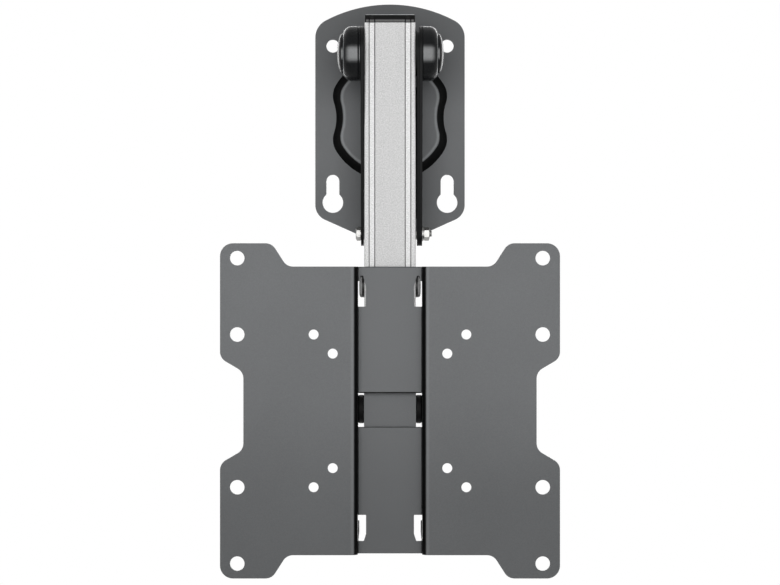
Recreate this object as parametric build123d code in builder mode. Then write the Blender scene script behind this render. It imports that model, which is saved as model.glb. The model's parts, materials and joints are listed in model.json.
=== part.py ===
from build123d import *
import os
from math import atan, cos, sin

os.makedirs("parts", exist_ok=True)

# Folding ceiling mount for a flat screen, folded up flat under the ceiling.
# Frame: the origin lies on the swivel axis, in the face that meets the ceiling.
# +Z points up to the ceiling. The fold pivot is on the -Y side and the arm runs from it
# towards +Y, where it carries the screen plate. Sizes are in millimetres.

# Clearances
running_gap = 0.06
bolt_gap = 0.2
plug_gap = 0.15
stop_gap = 0.3
edge_round = 0.6

# Shapes of the hexagon bolts and nuts, as shares of their own sizes
hex_corner_share = 2 / 3**0.5
hex_face_share = 0.94
head_straight_share = 0.78
nut_bevel_share = 0.16
shank_chamfer_share = 0.08

# Reach within which a corner counts as lying on a line
near = 0.1

# Ceiling plate
ceiling_plate_t = 3.0
ceiling_plate_w = 102.0
crown_y = -77.3
crown_r = 94.0
shoulder_r = 13.0
taper_y = 66.7
tail_y = 82.8
tail_w = 30.0
tail_corner_r = 11.0
screw_spacing_x = 78.0
screw_hole_d = 8.8
screw_hole_y = -48.9
keyslot_y = 43.4
keyhole_y = 57.9
keyhole_d = 14.0

# Pressed dome of the ceiling plate, with a dent in each side
dome_r = 43.2
dome_depth = 7.5
dome_wall_run = 5.4
dome_waist_w = 73.2
dome_dent_r = 32.0
dome_dent_run = 4.3
dome_dent_blend_r = 18.0
dome_edge_r = 4.5

# Swivel joint
swivel_bolt_d = 10.0
swivel_head_af = 16.0
swivel_head_h = 6.4
swivel_nut_h = 5.0
swivel_washer_d = 24.0
swivel_washer_t = 1.5
swivel_disc_d = 30.0
swivel_disc_t = 1.0
swivel_thread_end = 0.6

# Pivot bracket, a bent channel whose two ears hold the arm
bracket_t = 2.0
bracket_bend_r = 2.0
pivot_reach = 39.6
pivot_drop = 29.5
base_start = 19.6
base_length = 89.4
stop_reach = 119.5
ear_tip_r = 8.2
bracket_leg = 6.0

# Covers over the two ends of the pivot bolt
cover_d = 36.4
cover_wall = 1.6
cover_floor = 0.8
cover_rim_chamfer = 0.5
cover_barrel = 4.3
cover_sweep_w = 5.4
cover_sweep_h = 6.0
cover_ring_t = 1.5
insert_d = 26.4
insert_pit = 0.6
insert_edge = 1.2
insert_rise = 3.4

# Friction stack of the pivot
pivot_bolt_d = 10.0
pivot_head_af = 16.0
pivot_head_h = 6.4
pivot_nut_h = 5.0
pivot_washer_d = 21.0
pivot_washer_t = 1.2
spring_washer_d = 20.0
spring_washer_t = 0.8
spring_washer_count = 2
slide_washer_d = 30.0
thin_washer_t = 0.4
thick_washer_t = 1.0
brake_plate_t = 1.5
brake_head_d = 30.0
bush_d = 16.0

# Stop bolt across the tips of the ears
stop_bolt_d = 5.0
stop_head_af = 8.0
stop_head_h = 3.5
stop_nut_h = 4.0
stop_washer_d = 10.0
stop_washer_t = 1.0
stop_tube_d = 8.0
stop_thread_end = 1.5

# Extruded arm
arm_w = 34.0
arm_h = 20.0
arm_wall = 2.4
arm_corner_r = 1.2
arm_band_w = 4.35
arm_band_inset = 2.9
arm_band_depth = 0.8
arm_band_run = 0.65
arm_overhang = 19.6
arm_reach = 236.4
arm_end_gap = 16.0
cap_length = 5.8
cap_inset = 0.4
cap_end_r = 3.8
cap_side_r = 1.4
cap_plug = 9.0
cap_wall = 2.0

# Fitting in the lower end of the arm
fitting_w = 34.4
fitting_nose = 12.3
fitting_nose_r = 1.0
fitting_plug = 82.0
fitting_rib = 4.0
fitting_pocket_length = 26.0
clamp_bolt_back = 81.8
clamp_bolt_d = 6.0
clamp_head_d = 15.4
clamp_head_h = 3.4
clamp_head_r = 1.6
clamp_socket_af = 5.0
clamp_socket_depth = 1.6

# Screen plate: two wings joined by a sunk channel, pressed from one sheet
screen_plate_t = 2.0
web_bend_r = 0.6
wing_bend_r = 3.0
screen_w = 222.6
screen_h = 219.5
screen_mid_h = 189.0
screen_waist_w = 192.0
top_notch_w = 135.2
top_notch_run = 9.8
side_ear_start = 25.5
side_ear_run = 9.0
screen_corner_r = 8.5
notch_r = 7.5
channel_w = 42.0
channel_depth = 10.4
channel_to_arm = 2.0
window_h = 22.3
tab_kerf = 0.15
tab_tip = 7.6
tab_corner_r = 5.0
grid_large = 200.0
grid_middle = 100.0
grid_small = 75.0
large_hole_d = 9.5
small_hole_d = 6.5

# Hook slots in the corners of the channel: an upper and a lower pair, square at their inner ends
hook_inner_x = 15.8
hook_bend_reach = 0.3
hook_corner_r = 0.5
upper_hook_start = 68.2
upper_hook_length = 20.4
upper_hook_slant = 7.0
upper_hook_slant_run = 2.0
upper_hook_neck = 3.6
upper_hook_neck_inset = 1.3
lower_hook_start = 69.1
lower_hook_length = 17.2
lower_hook_slant = 4.7
lower_hook_slant_run = 1.5
lower_hook_mouth = 3.6
lower_hook_lip = 0.8
lower_hook_foot = 6.2
lower_hook_foot_lip = 0.2

# Tilt joint
tilt_bolt_d = 8.0
tilt_head_af = 13.0
tilt_head_h = 5.3
tilt_nut_h = 8.0
tilt_washer_d = 19.0
tilt_flat_washer_d = 16.0
tilt_flat_washer_t = 1.6
tilt_thread_end = 1.5

# Heights of the swivel stack, from the ceiling down
dome_under_z = -(dome_depth + ceiling_plate_t)
base_top_z = dome_under_z - swivel_disc_t
base_under_z = base_top_z - bracket_t
swivel_head_seat_z = base_under_z - swivel_washer_t

# Places of the three cross axes
pivot_y = -pivot_reach
pivot_z = base_under_z - pivot_drop
tilt_y = pivot_y + arm_reach
arm_back_z = pivot_z + arm_h / 2
stop_y = pivot_y + stop_reach
stop_z = arm_back_z + stop_gap + stop_tube_d / 2

# Places along the pivot axis
arm_side = arm_w / 2
left_ear_in = -(arm_side + thin_washer_t)
left_ear_out = left_ear_in - bracket_t
brake_plate_in = arm_side + thick_washer_t
right_ear_in = brake_plate_in + brake_plate_t
right_ear_out = right_ear_in + bracket_t
left_cover_seat = left_ear_out - cover_ring_t

# Pit in the end of each cover, measured from the cover's seat
insert_pit_r = insert_d / 2 + bolt_gap
sweep_center_r = cover_d / 2 - cover_sweep_w
sweep_share = (insert_pit_r - sweep_center_r) / cover_sweep_w
insert_pit_floor = cover_barrel + cover_sweep_h * (1 - sweep_share**2) ** 0.5 - insert_pit

# Arm and screen plate
arm_start_y = pivot_y - arm_overhang
arm_end_y = tilt_y - arm_end_gap
clamp_y = tilt_y - clamp_bolt_back
web_back_z = pivot_z - arm_h / 2 - channel_to_arm
web_front_z = web_back_z - screen_plate_t
wing_front_z = web_front_z - channel_depth
channel_side = channel_w / 2
wall_out = channel_side + screen_plate_t

# Planes square to the three cross axes, with their normals along +X
pivot_axis = Plane(origin=(0, pivot_y, pivot_z), x_dir=(0, 1, 0), z_dir=(1, 0, 0))
stop_axis = Plane(origin=(0, stop_y, stop_z), x_dir=(0, 1, 0), z_dir=(1, 0, 0))
tilt_axis = Plane(origin=(0, tilt_y, pivot_z), x_dir=(0, 1, 0), z_dir=(1, 0, 0))
clamp_axis = Plane(origin=(0, clamp_y, pivot_z), x_dir=(0, 1, 0), z_dir=(1, 0, 0))


def facing(axis_plane, x, side):
    """The plane at x on a cross axis whose normal points to side, +1 or -1 along X."""
    return Plane(origin=axis_plane.offset(x).origin, x_dir=(0, 1, 0), z_dir=(side, 0, 0))


def through_axis(seat):
    """The plane that holds the seat's normal: local x is the radius, local y points behind the seat."""
    return Plane(origin=seat.origin, x_dir=seat.x_dir, z_dir=seat.y_dir)


def ring(seat, outer_d, inner_d, thickness, rounding=0.0):
    """A flat ring that stands on the seat plane."""
    with BuildPart() as made:
        with BuildSketch(seat):
            Circle(outer_d / 2)
            Circle(inner_d / 2, mode=Mode.SUBTRACT)
        extrude(amount=thickness)
        if rounding:
            rims = made.edges().filter_by(GeomType.CIRCLE).group_by(SortBy.RADIUS)[-1]
            chamfer(rims, rounding)
    return made


def hex_bolt(seat, shank_d, shank_length, head_af, head_h):
    """A hexagon bolt: seat is the plane under its head, and the shank runs along its normal."""
    corner_r = hex_corner_share * head_af / 2
    with BuildPart() as made:
        with BuildSketch(seat):
            RegularPolygon(head_af / 2, 6, major_radius=False)
        extrude(amount=-head_h)
        with BuildSketch(through_axis(seat)):
            with BuildLine():
                Polyline(
                    (0, 0),
                    (corner_r, 0),
                    (corner_r, head_straight_share * head_h),
                    (hex_face_share * head_af / 2, head_h),
                    (0, head_h),
                    close=True,
                )
            make_face()
        revolve(axis=Axis(seat.origin, seat.z_dir), mode=Mode.INTERSECT)
        with BuildSketch(seat):
            Circle(shank_d / 2)
        extrude(amount=shank_length)
        tip = made.edges().filter_by(GeomType.CIRCLE).sort_by(Axis(seat.origin, seat.z_dir))[-1]
        chamfer(tip, shank_chamfer_share * shank_d)
    return made


def hex_nut(seat, bore_d, across_flats, height):
    """A hexagon nut that stands on the seat plane, with both its ends cut back at the corners."""
    corner_r = hex_corner_share * across_flats / 2
    face_r = hex_face_share * across_flats / 2
    corner_drop = nut_bevel_share * height
    with BuildPart() as made:
        with BuildSketch(seat):
            RegularPolygon(across_flats / 2, 6, major_radius=False)
            Circle(bore_d / 2, mode=Mode.SUBTRACT)
        extrude(amount=height)
        with BuildSketch(through_axis(seat)):
            with BuildLine():
                Polyline(
                    (0, 0),
                    (face_r, 0),
                    (corner_r, -corner_drop),
                    (corner_r, corner_drop - height),
                    (face_r, -height),
                    (0, -height),
                    close=True,
                )
            make_face()
        revolve(axis=Axis(seat.origin, seat.z_dir), mode=Mode.INTERSECT)
    return made


def foot_inset(wall_run, sheet_t):
    """How far in from the outer face of a sloped wall its inner face starts, at the dome's foot."""
    slope = atan(wall_run / dome_depth)
    return sheet_t * (1 - sin(slope)) / cos(slope)


def dome_form(foot_z, sheet_t=0.0):
    """The dome's outer form or, given the sheet, its hollow: a cone with a dent in each side."""
    foot_r = dome_r - foot_inset(dome_wall_run, sheet_t)
    dent_foot_r = dome_dent_r + foot_inset(dome_dent_run, sheet_t)
    dent_x = dome_waist_w / 2 + dome_dent_r
    hung = (Align.CENTER, Align.CENTER, Align.MAX)
    with BuildPart() as made:
        with Locations((0, 0, foot_z)):
            Cone(foot_r - dome_wall_run, foot_r, dome_depth, align=hung)
        with Locations((-dent_x, 0, foot_z), (dent_x, 0, foot_z)):
            Cone(dent_foot_r + dome_dent_run, dent_foot_r, dome_depth, align=hung, mode=Mode.SUBTRACT)
        walls = made.edges().filter_by(lambda e: e.bounding_box().size.Z > dome_depth - near)
        fillet(
            walls.filter_by(lambda e: abs(e.center().Y) > near),
            dome_dent_blend_r - foot_inset(dome_wall_run, sheet_t),
        )
    return made


# Ceiling plate: its outline, the pressed dome, two round holes and two keyholes
with BuildPart() as ceiling_plate:
    with BuildSketch() as plate_outline:
        with BuildLine():
            side_x = ceiling_plate_w / 2
            crown_edge_y = crown_y + crown_r - (crown_r**2 - side_x**2) ** 0.5
            crown = ThreePointArc((-side_x, crown_edge_y), (0, crown_y), (side_x, crown_edge_y))
            Polyline(
                crown @ 1,
                (side_x, taper_y),
                (tail_w / 2, tail_y),
                (-tail_w / 2, tail_y),
                (-side_x, taper_y),
                crown @ 0,
            )
        make_face()
        fillet(plate_outline.vertices().group_by(Axis.Y)[0], shoulder_r)
        fillet(plate_outline.vertices().filter_by(lambda v: v.Y > taper_y - near), tail_corner_r)
    extrude(amount=-ceiling_plate_t)

    add(dome_form(-ceiling_plate_t).part)
    fillet(ceiling_plate.faces().sort_by(Axis.Z)[0].edges(), dome_edge_r)
    add(dome_form(0, ceiling_plate_t).part, mode=Mode.SUBTRACT)

    with BuildSketch(Plane.XY) as plate_holes:
        with Locations((0, screw_hole_y)):
            with GridLocations(screw_spacing_x, 0, 2, 1):
                Circle(screw_hole_d / 2)
        with Locations((0, keyhole_y)):
            with GridLocations(screw_spacing_x, 0, 2, 1):
                Circle(keyhole_d / 2)
        with Locations((0, keyslot_y)):
            with GridLocations(screw_spacing_x, 0, 2, 1):
                Circle(screw_hole_d / 2)
        with Locations((0, (keyslot_y + keyhole_y) / 2)):
            with GridLocations(screw_spacing_x, 0, 2, 1):
                Rectangle(screw_hole_d, keyhole_y - keyslot_y)
        Circle(swivel_bolt_d / 2 + bolt_gap)
    extrude(amount=-(dome_depth + ceiling_plate_t), mode=Mode.SUBTRACT)
ceiling_plate.part.label = "ceiling_plate"
export_step(ceiling_plate.part, "parts/ceiling_plate.step")

# Swivel bolt, pushed up through the bracket and the dome to a nut in the dome's hollow
dome_floor_z = -dome_depth
swivel_nut_seat_z = dome_floor_z + swivel_washer_t
swivel_bolt_length = swivel_nut_seat_z + swivel_nut_h + swivel_thread_end - swivel_head_seat_z
swivel_bolt = hex_bolt(
    Plane.XY.offset(swivel_head_seat_z), swivel_bolt_d, swivel_bolt_length, swivel_head_af, swivel_head_h
)
swivel_bolt.part.label = "swivel_bolt"
export_step(swivel_bolt.part, "parts/swivel_bolt.step")

swivel_clear_d = swivel_bolt_d + 2 * running_gap
swivel_nut = hex_nut(Plane.XY.offset(swivel_nut_seat_z), swivel_clear_d, swivel_head_af, swivel_nut_h)
swivel_nut.part.label = "swivel_nut"
export_step(swivel_nut.part, "parts/swivel_nut.step")

upper_swivel_washer = ring(
    Plane.XY.offset(dome_floor_z), swivel_washer_d, swivel_clear_d, swivel_washer_t
)
upper_swivel_washer.part.label = "upper_swivel_washer"
export_step(upper_swivel_washer.part, "parts/upper_swivel_washer.step")

lower_swivel_washer = ring(
    Plane.XY.offset(swivel_head_seat_z), swivel_washer_d, swivel_clear_d, swivel_washer_t
)
lower_swivel_washer.part.label = "lower_swivel_washer"
export_step(lower_swivel_washer.part, "parts/lower_swivel_washer.step")

swivel_disc = ring(Plane.XY.offset(base_top_z), swivel_disc_d, swivel_clear_d, swivel_disc_t)
swivel_disc.part.label = "swivel_disc"
export_step(swivel_disc.part, "parts/swivel_disc.step")

# Pivot bracket: a channel bent from one sheet, with its ears drawn out past both ends of its base
base_start_y = pivot_y + base_start
base_end_y = base_start_y + base_length
bend_out_r = bracket_bend_r + bracket_t
ear_top_z = base_top_z - bend_out_r
with BuildPart() as pivot_bracket:
    with BuildSketch(Plane.XZ.offset(-base_start_y)) as channel:
        bracket_mid_x = (left_ear_out + right_ear_out) / 2
        with Locations((bracket_mid_x, base_top_z - (bend_out_r + bracket_leg) / 2)):
            Rectangle(right_ear_out - left_ear_out, bend_out_r + bracket_leg)
        fillet(channel.vertices().group_by(Axis.Y)[-1], bend_out_r)
        with BuildSketch(Plane.XZ.offset(-base_start_y), mode=Mode.SUBTRACT) as hollow:
            with Locations((bracket_mid_x, base_under_z - (bend_out_r + bracket_leg) / 2)):
                Rectangle(right_ear_in - left_ear_in, bend_out_r + bracket_leg)
            fillet(hollow.vertices().group_by(Axis.Y)[-1], bracket_bend_r)
    extrude(amount=-base_length)
    for ear_x in (left_ear_out, right_ear_in):
        with BuildSketch(Plane.YZ.offset(ear_x)) as ear:
            with Locations((pivot_y, pivot_z)):
                Circle(cover_d / 2)
            with Locations((stop_y, stop_z)):
                Circle(ear_tip_r)
            with Locations((base_start_y + base_length / 2, ear_top_z - bracket_leg / 2)):
                Rectangle(base_length, bracket_leg)
            make_hull()
            with Locations((pivot_y, pivot_z)):
                Circle(pivot_bolt_d / 2 + running_gap, mode=Mode.SUBTRACT)
            with Locations((stop_y, stop_z)):
                Circle(stop_bolt_d / 2 + bolt_gap, mode=Mode.SUBTRACT)
        extrude(amount=bracket_t)
    with BuildSketch(Plane.XY.offset(base_top_z)):
        Circle(swivel_bolt_d / 2 + running_gap)
    extrude(amount=-bracket_t, mode=Mode.SUBTRACT)
pivot_bracket.part.label = "pivot_bracket"
export_step(pivot_bracket.part, "parts/pivot_bracket.step")

# Brake plate on the right of the arm, kept from turning by the stop bolt
with BuildPart() as brake_plate:
    with BuildSketch(Plane.YZ.offset(brake_plate_in)):
        with Locations((pivot_y, pivot_z)):
            Circle(brake_head_d / 2)
        with Locations((stop_y, stop_z)):
            Circle(ear_tip_r)
        make_hull()
        with Locations((pivot_y, pivot_z)):
            Circle(pivot_bolt_d / 2 + running_gap, mode=Mode.SUBTRACT)
        with Locations((stop_y, stop_z)):
            Circle(stop_bolt_d / 2 + bolt_gap, mode=Mode.SUBTRACT)
    extrude(amount=brake_plate_t)
brake_plate.part.label = "brake_plate"
export_step(brake_plate.part, "parts/brake_plate.step")

# Sliding washers on both sides of the arm
pivot_clear_d = pivot_bolt_d + 2 * running_gap
left_slide_washer = ring(
    pivot_axis.offset(left_ear_in), slide_washer_d, pivot_clear_d, thin_washer_t
)
left_slide_washer.part.label = "left_slide_washer"
export_step(left_slide_washer.part, "parts/left_slide_washer.step")

right_slide_washer = ring(pivot_axis.offset(arm_side), slide_washer_d, pivot_clear_d, thick_washer_t)
right_slide_washer.part.label = "right_slide_washer"
export_step(right_slide_washer.part, "parts/right_slide_washer.step")

# Pivot bolt from the left, with its washers, spring washers and nut on the right
left_head_seat = left_ear_out - pivot_washer_t
spring_seat = right_ear_out + pivot_washer_t
pivot_nut_seat = spring_seat + spring_washer_count * spring_washer_t
pivot_bolt_length = pivot_nut_seat + pivot_nut_h - left_head_seat
pivot_bolt = hex_bolt(
    facing(pivot_axis, left_head_seat, 1), pivot_bolt_d, pivot_bolt_length, pivot_head_af, pivot_head_h
)
pivot_bolt.part.label = "pivot_bolt"
export_step(pivot_bolt.part, "parts/pivot_bolt.step")

pivot_nut = hex_nut(pivot_axis.offset(pivot_nut_seat), pivot_clear_d, pivot_head_af, pivot_nut_h)
pivot_nut.part.label = "pivot_nut"
export_step(pivot_nut.part, "parts/pivot_nut.step")

left_pivot_washer = ring(
    pivot_axis.offset(left_head_seat), pivot_washer_d, pivot_clear_d, pivot_washer_t
)
left_pivot_washer.part.label = "left_pivot_washer"
export_step(left_pivot_washer.part, "parts/left_pivot_washer.step")

right_pivot_washer = ring(
    pivot_axis.offset(right_ear_out), pivot_washer_d, pivot_clear_d, pivot_washer_t
)
right_pivot_washer.part.label = "right_pivot_washer"
export_step(right_pivot_washer.part, "parts/right_pivot_washer.step")

for turn in range(spring_washer_count):
    spring_washer = ring(
        pivot_axis.offset(spring_seat + turn * spring_washer_t),
        spring_washer_d,
        pivot_clear_d,
        spring_washer_t,
    )
    spring_washer.part.label = f"spring_washer_{turn + 1}"
    export_step(spring_washer.part, f"parts/spring_washer_{turn + 1}.step")

# Ring under the left cover, which brings it level with the right one
cover_bore_d = cover_d - 2 * cover_wall
cover_ring = ring(
    pivot_axis.offset(left_cover_seat), cover_d, cover_bore_d, cover_ring_t, cover_rim_chamfer
)
cover_ring.part.label = "cover_ring"
export_step(cover_ring.part, "parts/cover_ring.step")


def pivot_cover(seat):
    """A round moulded cover: open at its seat, with a swept shoulder and a shallow pit for the insert."""
    radius = cover_d / 2
    bore_r = cover_bore_d / 2
    hollow_h = insert_pit_floor - cover_floor
    with BuildPart() as made:
        with BuildSketch(through_axis(seat)):
            with BuildLine():
                rim = Line((0, 0), (radius - cover_rim_chamfer, 0))
                lip = Line(rim @ 1, (radius, -cover_rim_chamfer))
                Line(lip @ 1, (radius, -cover_barrel))
                shoulder = EllipticalCenterArc(
                    (sweep_center_r, -cover_barrel),
                    cover_sweep_w,
                    cover_sweep_h,
                    start_angle=-90,
                    arc_size=90,
                )
                Polyline(shoulder @ 0, (0, -(cover_barrel + cover_sweep_h)), (0, 0))
            make_face()
            with BuildLine():
                Polyline((0, 0), (bore_r, 0), (bore_r, -cover_barrel))
                ceiling = EllipticalCenterArc(
                    (sweep_center_r, -cover_barrel),
                    bore_r - sweep_center_r,
                    hollow_h - cover_barrel,
                    start_angle=-90,
                    arc_size=90,
                )
                Polyline(ceiling @ 0, (0, -hollow_h), (0, 0))
            make_face(mode=Mode.SUBTRACT)
        revolve(axis=Axis(seat.origin, seat.z_dir))
        with BuildSketch(seat.offset(insert_pit_floor)):
            Circle(insert_pit_r)
        extrude(amount=cover_sweep_h, mode=Mode.SUBTRACT)
    return made


def cover_insert(seat):
    """The plain domed disc that closes the middle of a cover."""
    with BuildPart() as made:
        with BuildSketch(through_axis(seat)):
            with BuildLine():
                base = Line((0, 0), (insert_d / 2, 0))
                Line(base @ 1, (insert_d / 2, -insert_edge))
                dome = EllipticalCenterArc(
                    (0, -insert_edge),
                    insert_d / 2,
                    insert_rise,
                    start_angle=-90,
                    arc_size=90,
                )
                Line(dome @ 0, (0, 0))
            make_face()
        revolve(axis=Axis(seat.origin, seat.z_dir))
    return made


for side_name, cover_seat, side in (("left", left_cover_seat, -1), ("right", right_ear_out, 1)):
    cover = pivot_cover(facing(pivot_axis, cover_seat, side))
    cover.part.label = f"{side_name}_pivot_cover"
    export_step(cover.part, f"parts/{side_name}_pivot_cover.step")
    insert_x = cover_seat + side * insert_pit_floor
    insert = cover_insert(facing(pivot_axis, insert_x, side))
    insert.part.label = f"{side_name}_cover_insert"
    export_step(insert.part, f"parts/{side_name}_cover_insert.step")

# Stop bolt, its spacer tube, washer and nut: the folded arm lies against the tube
stop_washer_seat = right_ear_out
stop_nut_seat = stop_washer_seat + stop_washer_t
stop_bolt_length = stop_nut_seat + stop_nut_h + stop_thread_end - left_ear_out
stop_bolt = hex_bolt(
    facing(stop_axis, left_ear_out, 1), stop_bolt_d, stop_bolt_length, stop_head_af, stop_head_h
)
stop_bolt.part.label = "stop_bolt"
export_step(stop_bolt.part, "parts/stop_bolt.step")

stop_clear_d = stop_bolt_d + 2 * running_gap
stop_washer = ring(
    stop_axis.offset(stop_washer_seat), stop_washer_d, stop_clear_d, stop_washer_t
)
stop_washer.part.label = "stop_washer"
export_step(stop_washer.part, "parts/stop_washer.step")

stop_nut = hex_nut(stop_axis.offset(stop_nut_seat), stop_clear_d, stop_head_af, stop_nut_h)
stop_nut.part.label = "stop_nut"
export_step(stop_nut.part, "parts/stop_nut.step")

stop_tube = ring(
    stop_axis.offset(left_ear_in), stop_tube_d, stop_clear_d, brake_plate_in - left_ear_in
)
stop_tube.part.label = "stop_tube"
export_step(stop_tube.part, "parts/stop_tube.step")


def arm_section(y, inset=0.0):
    """The arm's outer section, square to Y: a flat tube with two sunk bands on its front and back."""
    with BuildSketch(Plane(origin=(0, y, pivot_z), x_dir=(1, 0, 0), z_dir=(0, 1, 0))) as section:
        Rectangle(arm_w - 2 * inset, arm_h - 2 * inset)
        band_x = arm_w / 2 - arm_band_inset - arm_band_w / 2
        edge_x = arm_band_w / 2
        floor_x = edge_x - arm_band_run
        with GridLocations(2 * band_x, arm_h - 2 * inset, 2, 2):
            Polygon(
                (-edge_x, 0),
                (-floor_x, -arm_band_depth),
                (floor_x, -arm_band_depth),
                (edge_x, 0),
                (floor_x, arm_band_depth),
                (-floor_x, arm_band_depth),
                mode=Mode.SUBTRACT,
            )
        corners = section.vertices().group_by(Axis.X)
        fillet(corners[0] + corners[-1], arm_corner_r)
    return section.sketch


# Arm: a length of aluminium extrusion, cross-drilled for the pivot bush and the clamp bolt
arm_length = arm_end_y - arm_start_y
with BuildPart() as arm_tube:
    add(arm_section(arm_start_y))
    extrude(amount=arm_length, dir=(0, 1, 0))
    with BuildSketch(Plane(origin=(0, arm_start_y, pivot_z), x_dir=(1, 0, 0), z_dir=(0, 1, 0))):
        RectangleRounded(arm_w - 2 * arm_wall, arm_h - 2 * arm_wall, arm_corner_r)
    extrude(amount=arm_length, mode=Mode.SUBTRACT)
    with BuildSketch(pivot_axis.offset(-arm_side)):
        Circle(bush_d / 2 + running_gap)
    extrude(amount=arm_w, mode=Mode.SUBTRACT)
    with BuildSketch(clamp_axis.offset(-arm_side)):
        Circle(clamp_bolt_d / 2 + bolt_gap)
    extrude(amount=arm_w, mode=Mode.SUBTRACT)
arm_tube.part.label = "arm_tube"
export_step(arm_tube.part, "parts/arm_tube.step")

# End cap of the arm: a hollow plug behind a flange that repeats the arm's section and is rounded off
plug_w = arm_w - 2 * arm_wall - 2 * plug_gap
plug_h = arm_h - 2 * arm_wall - 2 * plug_gap
with BuildPart() as arm_end_cap:
    add(arm_section(arm_start_y, cap_inset))
    extrude(amount=-cap_length, dir=(0, 1, 0))
    cap_mid_y = arm_start_y - cap_length / 2
    with BuildSketch(Plane.YZ.offset(-arm_side)) as side_view:
        with Locations((cap_mid_y, pivot_z)):
            Rectangle(cap_length, arm_h - 2 * cap_inset)
        fillet(side_view.vertices().group_by(Axis.X)[0], cap_end_r)
    extrude(amount=arm_w, mode=Mode.INTERSECT)
    with BuildSketch(Plane.XY.offset(pivot_z - arm_h / 2)) as top_view:
        with Locations((0, cap_mid_y)):
            Rectangle(arm_w - 2 * cap_inset, cap_length)
        fillet(top_view.vertices().group_by(Axis.Y)[0], cap_side_r)
    extrude(amount=arm_h, mode=Mode.INTERSECT)
    with BuildSketch(Plane(origin=(0, arm_start_y, pivot_z), x_dir=(1, 0, 0), z_dir=(0, 1, 0))):
        RectangleRounded(plug_w, plug_h, arm_corner_r)
        Rectangle(plug_w - 2 * cap_wall, plug_h - 2 * cap_wall, mode=Mode.SUBTRACT)
    extrude(amount=cap_plug)
arm_end_cap.part.label = "arm_end_cap"
export_step(arm_end_cap.part, "parts/arm_end_cap.step")

# Bush through the arm at the pivot
pivot_bush = ring(pivot_axis.offset(-arm_side), bush_d, pivot_clear_d, arm_w)
pivot_bush.part.label = "pivot_bush"
export_step(pivot_bush.part, "parts/pivot_bush.step")

# Arm fitting: a cast knuckle for the tilt bolt, with a long pocketed plug inside the arm
plug_start_y = arm_end_y - fitting_plug
with BuildPart() as arm_fitting:
    with BuildSketch(Plane.YZ.offset(-fitting_w / 2)) as knuckle:
        with Locations(((arm_end_y + tilt_y + fitting_nose) / 2, pivot_z)):
            Rectangle(tilt_y + fitting_nose - arm_end_y, arm_h)
        fillet(knuckle.vertices().group_by(Axis.X)[-1], fitting_nose_r)
    extrude(amount=fitting_w)
    with BuildSketch(Plane(origin=(0, plug_start_y, pivot_z), x_dir=(1, 0, 0), z_dir=(0, 1, 0))):
        RectangleRounded(plug_w, plug_h, arm_corner_r)
    extrude(amount=fitting_plug)
    pocket_w = (plug_w - 3 * fitting_rib) / 2
    with BuildSketch(Plane.XY.offset(pivot_z - plug_h / 2)):
        with Locations((0, arm_end_y - fitting_rib - fitting_pocket_length / 2)):
            with GridLocations(pocket_w + fitting_rib, 0, 2, 1):
                RectangleRounded(pocket_w, fitting_pocket_length, fitting_rib / 2)
    extrude(amount=plug_h, mode=Mode.SUBTRACT)
    with BuildSketch(tilt_axis.offset(-fitting_w / 2)):
        Circle(tilt_bolt_d / 2 + running_gap)
    extrude(amount=fitting_w, mode=Mode.SUBTRACT)
    with BuildSketch(clamp_axis.offset(-plug_w / 2)):
        Circle(clamp_bolt_d / 2 + bolt_gap)
    extrude(amount=plug_w, mode=Mode.SUBTRACT)
arm_fitting.part.label = "arm_fitting"
export_step(arm_fitting.part, "parts/arm_fitting.step")


def clamp_head(seat):
    """A low round head that stands on the seat plane."""
    with BuildPart() as made:
        with BuildSketch(seat):
            Circle(clamp_head_d / 2)
        extrude(amount=clamp_head_h)
        fillet(made.faces().sort_by(Axis(seat.origin, seat.z_dir))[-1].edges(), clamp_head_r)
        with BuildSketch(seat.offset(clamp_head_h)):
            RegularPolygon(clamp_socket_af / 2, 6, major_radius=False)
        extrude(amount=-clamp_socket_depth, mode=Mode.SUBTRACT)
    return made


# Clamp bolt that holds the fitting in the arm, and its round sleeve nut
with BuildPart() as clamp_bolt:
    add(clamp_head(facing(clamp_axis, -arm_side, -1)).part)
    with BuildSketch(clamp_axis.offset(-arm_side)):
        Circle(clamp_bolt_d / 2)
    extrude(amount=arm_w)
clamp_bolt.part.label = "clamp_bolt"
export_step(clamp_bolt.part, "parts/clamp_bolt.step")

clamp_nut = clamp_head(facing(clamp_axis, arm_side, 1))
clamp_nut.part.label = "clamp_nut"
export_step(clamp_nut.part, "parts/clamp_nut.step")

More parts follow.
